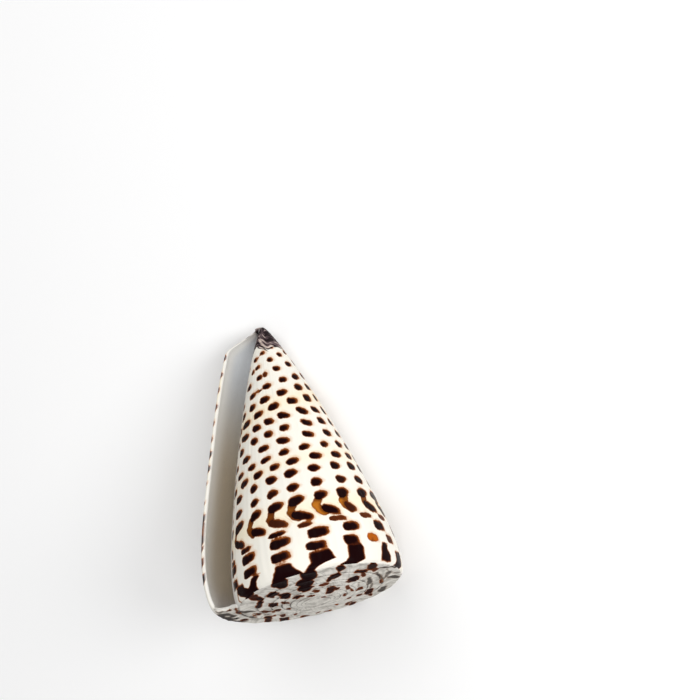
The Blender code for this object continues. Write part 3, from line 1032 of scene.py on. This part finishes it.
def marked_colour(nodes, ground):
    """The ground with the marks' brown halos, then the links, the spire's painted ridge shadows and the
    spots on it.
    """
    warp = warp_field(nodes)
    link = nodes.plus(nodes.field("link"), warp)
    spot = nodes.plus(nodes.field("spot"), warp)
    either = nodes.math("MINIMUM", link, spot)
    rim = nodes.minus(nodes.step(nodes.field("lead"), -0.7, 1, 0.5, 2.4),
                      nodes.times(nodes.on_spire, 0.4))
    halo_share = nodes.times(nodes.step(nodes.math("DIVIDE", either, rim), 0.55, -0.05),
                             nodes.minus(0.48, nodes.times(nodes.on_spire, 0.3)))
    haloed = nodes.mix(halo_share, ground, HALO)
    # The links' mask also covers the spire's painted ridge shadows
    blur = nodes.plus(nodes.times(nodes.on_spire, 0.2), 0.15)
    on_link_and_ridge_shade = nodes.step(link, blur, nodes.times(blur, -1))
    with_links_and_ridge_shade = nodes.mix(on_link_and_ridge_shade, haloed, link_and_ridge_shade_colour(nodes, link, spot))
    inwards = nodes.math("DIVIDE", nodes.times(either, -1), rim)
    return nodes.mix(nodes.step(spot, 0.16, -0.12), with_links_and_ridge_shade, spot_colour(nodes, spot, warp, inwards))


def tip_streaks(nodes):
    """Noise drawn out round the shell, at a slant to the winding rows."""
    around = nodes.field("around")
    slanted = nodes.plus(nodes.field("tip"), nodes.times(around, -35))
    rows_place = nodes.vector(nodes.times(around, 0.055), nodes.times(slanted, 0.001))
    return nodes.noise(rows_place, 640, 1)


def tip_colour(nodes, marked):
    """The dark narrow tip with its pinkish streaks and its uneven border."""
    streaks = tip_streaks(nodes)
    border = nodes.plus(nodes.field("tip"), nodes.times(nodes.minus(streaks, 0.5), 6))
    paler = nodes.minus(streaks, nodes.step(nodes.field("tip"), 1, 7, -0.03, 0.1))
    edged = nodes.minus(paler, nodes.step(border, 1.8, 0.4, 0, 0.3))
    dark = nodes.ramp(edged, ((0, TIP_DARK), (1, TIP_PINK), (0.4, TIP_DARK),
                              (0.53, TIP_MIDDLE), (0.65, TIP_PINK)))
    return nodes.mix(nodes.step(border, -0.3, 0.5), marked, dark)


def spire_colour(nodes):
    """The greyer ground of the spire, with grey growth lines that are partly painted shade
    of the growth ridges, and a dark suture line widened into painted shadow under each step.
    """
    lines = nodes.noise(nodes.growth_place, 620, 3)
    clouds = nodes.noise(nodes.object_place, 260, 4, 0.6)
    ground = nodes.mix(nodes.step(clouds, 0.42, 0.68, 0, 0.6), SPIRE_WHITE, SPIRE_GREY)
    # Growth lines: partly the shell's own grey streaks, partly painted shade of the growth ridges
    lined = nodes.mix(nodes.step(lines, 0.46, 0.74, 0, 0.5), ground, SPIRE_GREY)
    # Darker by the suture: a dark suture line and painted shadow under the step
    near_suture = nodes.step(nodes.plus(nodes.field("depth"), nodes.times(lines, 0.08)), 0.88, 1.03)
    suture_and_step_shade = nodes.times(near_suture, nodes.step(clouds, 0.4, 0.58, 0.35, 0.95))
    return nodes.mix(suture_and_step_shade, lined, SUTURE_AND_STEP_SHADE)


def inside_colour(nodes):
    """White at the lip, then lilac, brownish grey and bluish, with a stain at the tip."""
    along = nodes.field("along")
    deep = nodes.mix(nodes.step(along, 0.045, 0.085), INSIDE_TAUPE, INSIDE_BLUE)
    deep = nodes.mix(nodes.step(along, 0, 0.012), INSIDE_LILAC, deep)
    inside = nodes.mix(nodes.step(nodes.field("depth"), 0.1, 0.6), INSIDE_WHITE, deep)
    return nodes.mix(nodes.step(nodes.field("tip"), -3.5, 2.5, 0, 0.75), inside, TIP_STAIN)


def shell_colour(nodes):
    """The marked outside with its dark tip, and the inside where the shell is glazed."""
    ground = nodes.mix(nodes.on_spire, ground_colour(nodes), spire_colour(nodes))
    outside = tip_colour(nodes, marked_colour(nodes, ground))
    return nodes.mix(nodes.field("glaze"), outside, inside_colour(nodes))


def shell_roughness(nodes):
    """Unevenly glossy, and duller on the spire."""
    wear = nodes.step(nodes.noise(nodes.object_place, 240, 3), 0.3, 0.75, 0.16, 0.3)
    return nodes.plus(wear, nodes.times(nodes.on_spire, 0.35))


def shell_bump(nodes):
    """Fine growth lines and grain, and lumps on the spire, as a small bump."""
    lines = nodes.noise(nodes.growth_place, 1500, 3, 0.6)
    grain = nodes.noise(nodes.object_place, 2600)
    lumps = nodes.times(nodes.noise(nodes.object_place, 700, 3, 0.6), nodes.on_spire)
    height = nodes.plus(nodes.plus(lines, nodes.times(grain, 0.35)), nodes.times(lumps, 2))
    bump = nodes.add("ShaderNodeBump")
    bump.inputs["Strength"].default_value = 0.5
    bump.inputs["Distance"].default_value = 0.00005
    stronger = nodes.plus(nodes.times(nodes.on_spire, 3), 0.6)
    nodes.feed(bump.inputs["Height"], nodes.times(height, stronger))
    return bump.outputs[0]


def shell_material():
    """Glossy porcelain-like shell: ivory with dark spots, a dark tip and a greyer spire."""
    material = bpy.data.materials.new("shell_porcelain")
    nodes = ShellNodes(material)
    inputs = nodes.shader.inputs
    nodes.feed(inputs["Base Color"], shell_colour(nodes))
    nodes.feed(inputs["Roughness"], shell_roughness(nodes))
    nodes.feed(inputs["Normal"], shell_bump(nodes))
    inputs["IOR"].default_value = 1.5
    inputs["Specular IOR Level"].default_value = 0.016
    return material


def new_object(name, data):
    thing = bpy.data.objects.new(name, data)
    bpy.context.scene.collection.objects.link(thing)
    return thing


def make_shell():
    shell = new_object("shell_surface", shell_mesh())
    shell.data.materials.append(shell_material())
    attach(shell, "root")
    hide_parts("cone_shell")


def floor_material():
    material = bpy.data.materials.new("pale_floor")
    inputs = Nodes(material).shader.inputs
    inputs["Base Color"].default_value = rgb(250, 250, 250)
    inputs["Roughness"].default_value = 0.9
    inputs["Specular IOR Level"].default_value = 0.1
    return material


def make_floor():
    mesh = bpy.data.meshes.new("floor")
    half = FLOOR_HALF_WIDTH
    corners = [(-half, -half, 0.0), (half, -half, 0.0), (half, half, 0.0), (-half, half, 0.0)]
    mesh.from_pydata(corners, [], [(0, 1, 2, 3)])
    floor = new_object("floor", mesh)
    floor.location.z = -FLOOR_GAP
    floor.data.materials.append(floor_material())


def make_light(name, place, size, power):
    data = bpy.data.lights.new(name, "AREA")
    data.shape = "DISK"
    data.size = size
    data.energy = power
    light = new_object(name, data)
    light.location = place
    away = light.location - Matrix.Translation(LIT_MIDDLE).translation
    light.rotation_euler = away.to_track_quat("Z", "Y").to_euler()


def make_lights():
    """A white room with lights above beyond the tip, at the right and above the right front."""
    world = bpy.data.worlds.new("white_room")
    world.use_nodes = True
    background = world.node_tree.nodes["Background"]
    background.inputs["Color"].default_value = (1.0, 1.0, 1.0, 1.0)
    background.inputs["Strength"].default_value = ROOM_STRENGTH
    bpy.context.scene.world = world
    for light in LIGHTS:
        make_light(*light)


def make_camera():
    data = bpy.data.cameras.new("camera")
    data.lens = CAMERA_LENS
    camera = new_object("camera", data)
    camera.location = CAMERA_PLACE
    camera.rotation_euler = [math.radians(angle) for angle in CAMERA_TURN]
    bpy.context.scene.camera = camera


bpy.context.scene.view_settings.view_transform = "Standard"
make_shell()
make_floor()
make_lights()
make_camera()
